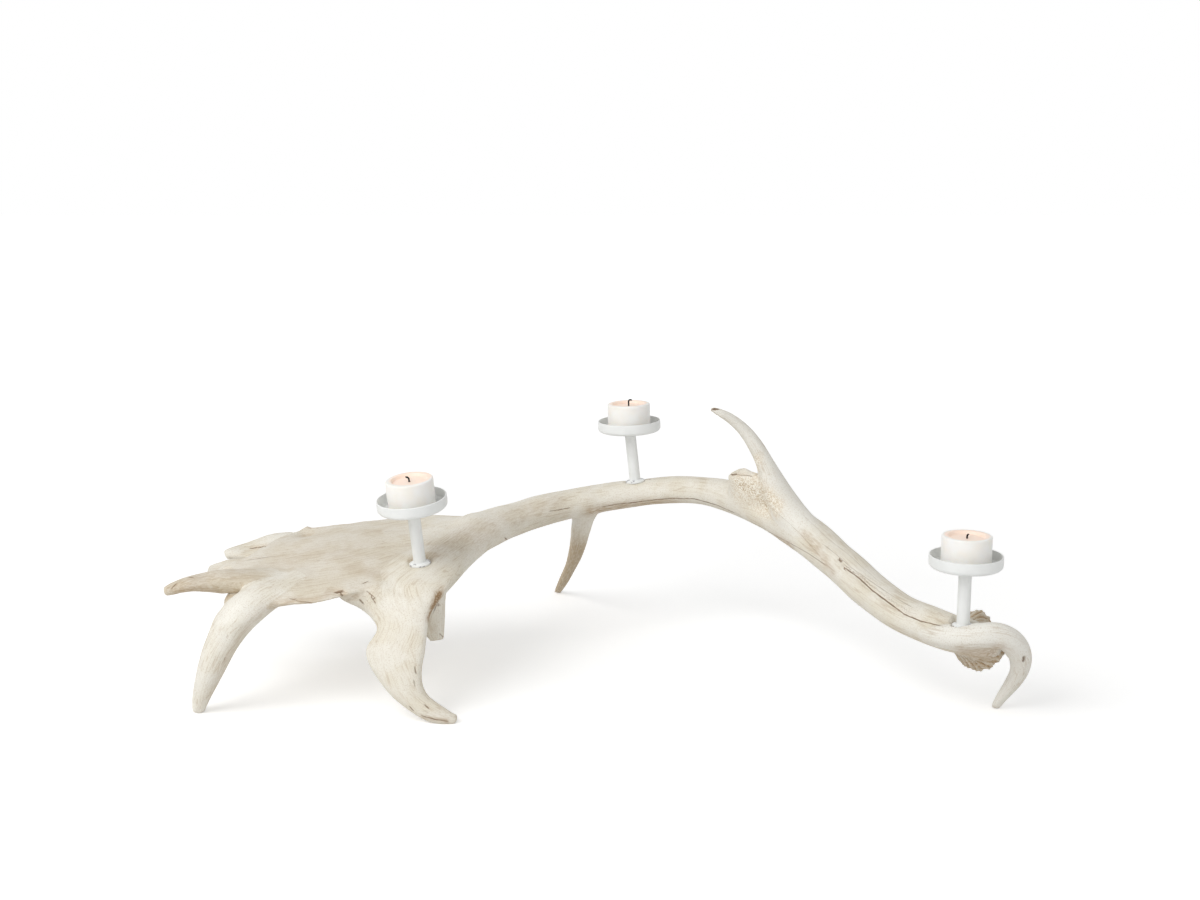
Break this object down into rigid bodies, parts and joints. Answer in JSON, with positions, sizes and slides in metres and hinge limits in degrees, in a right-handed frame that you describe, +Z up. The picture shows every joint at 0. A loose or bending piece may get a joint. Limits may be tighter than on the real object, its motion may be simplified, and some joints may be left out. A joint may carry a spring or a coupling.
{
  "type": "antler candle holder",
  "caption": "Whitened palmate antler lying on its tines as a table candle holder, with white dishes on screwed-on stems that each carry a small tealight.",
  "frame": {"origin": "on the table top, below the middle of the bounding box", "axes": "+X along the antler from its palm to its burr, +Y to its back, +Z up"},
  "size_m": [0.6687, 0.3806, 0.2227],
  "materials": {
    "antler_bone": "matte",
    "powder_coat": "satin",
    "steel": "satin",
    "wax": "satin",
    "tin": "satin",
    "wick": "matte"
  },
  "bodies": {
    "stand": {"antler": "antler_bone", "left_foot_flange": "powder_coat", "left_hanger_bolt": "steel", "left_stem": "powder_coat", "left_dish": "powder_coat", "left_dish_screw": "steel", "middle_foot_flange": "powder_coat", "middle_hanger_bolt": "steel", "middle_stem": "powder_coat", "middle_dish": "powder_coat", "middle_dish_screw": "steel", "right_foot_flange": "powder_coat", "right_hanger_bolt": "steel", "right_stem": "powder_coat", "right_dish": "powder_coat", "right_dish_screw": "steel"},
    "left_candle": {"left_candle_wax": "wax", "left_wick_sustainer": "tin", "left_wick": "wick"},
    "middle_candle": {"middle_candle_wax": "wax", "middle_wick_sustainer": "tin", "middle_wick": "wick"},
    "right_candle": {"right_candle_wax": "wax", "right_wick_sustainer": "tin", "right_wick": "wick"}
  },
  "joints": [
    {"name": "left_candle_lift", "type": "slide", "parent": "stand", "child": "left_candle", "axis": [-0.0884, -0.1041, 0.9906], "range_m": [0, 0.05]},
    {"name": "middle_candle_lift", "type": "slide", "parent": "stand", "child": "middle_candle", "axis": [-0.108, 0, 0.9942], "range_m": [0, 0.05]},
    {"name": "right_candle_lift", "type": "slide", "parent": "stand", "child": "right_candle", "axis": [0, 0, 1], "range_m": [0, 0.05]}
  ]
}
